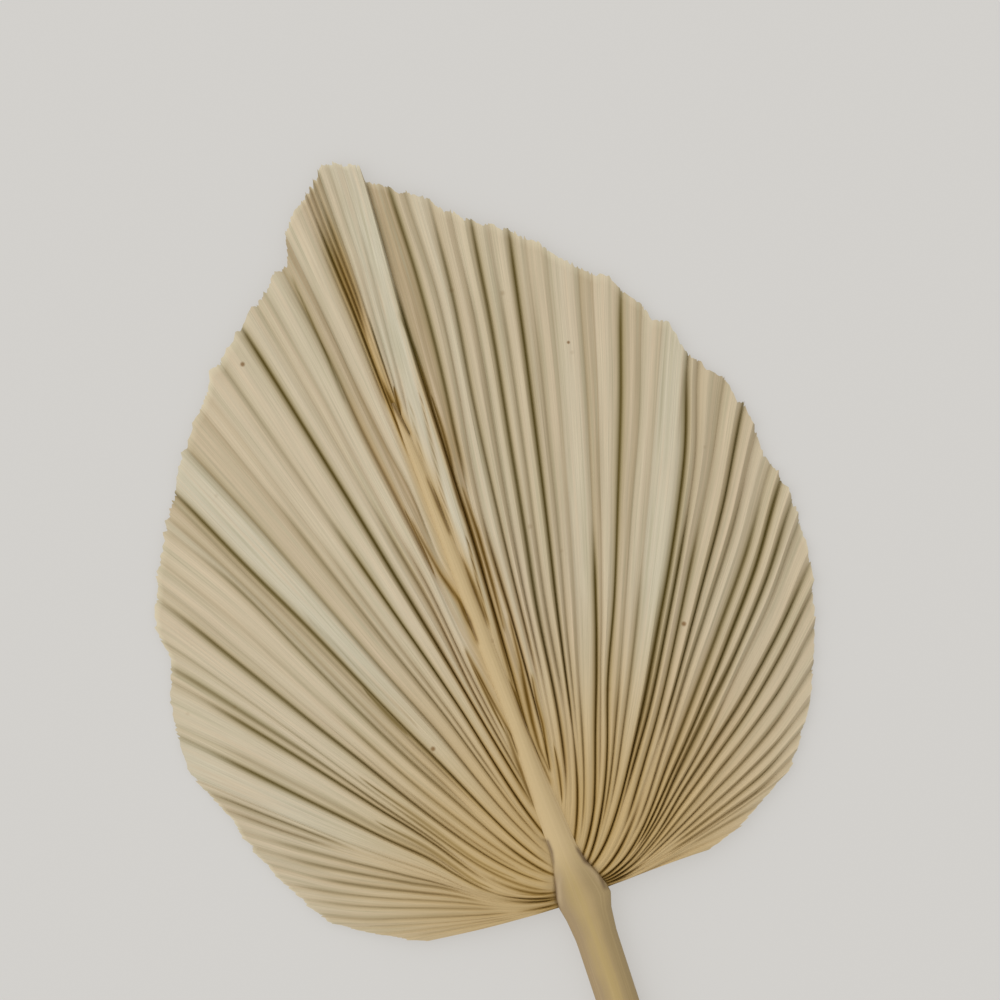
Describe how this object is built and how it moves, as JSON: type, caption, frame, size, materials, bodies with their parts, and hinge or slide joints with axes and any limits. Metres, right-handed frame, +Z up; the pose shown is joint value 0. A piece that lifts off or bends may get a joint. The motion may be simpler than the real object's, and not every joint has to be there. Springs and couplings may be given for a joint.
{
  "type": "fan palm leaf",
  "caption": "Dried pleated palm leaf cut to a rounded fan on a length of stalk, lying flat for floral display.",
  "frame": {"origin": "middle of the leaf's bounding box, on the surface that the leaf lies on", "axes": "+Y up the leaf from the stalk's cut end to the blade's tip, +Z up from the surface, +X to the right of the back side"},
  "size_m": [0.251, 0.4566, 0.0128],
  "materials": {
    "dried_leaf": "matt, dry plant fibre"
  },
  "bodies": {
    "root": {"palm_leaf": "dried_leaf"}
  },
  "joints": []
}
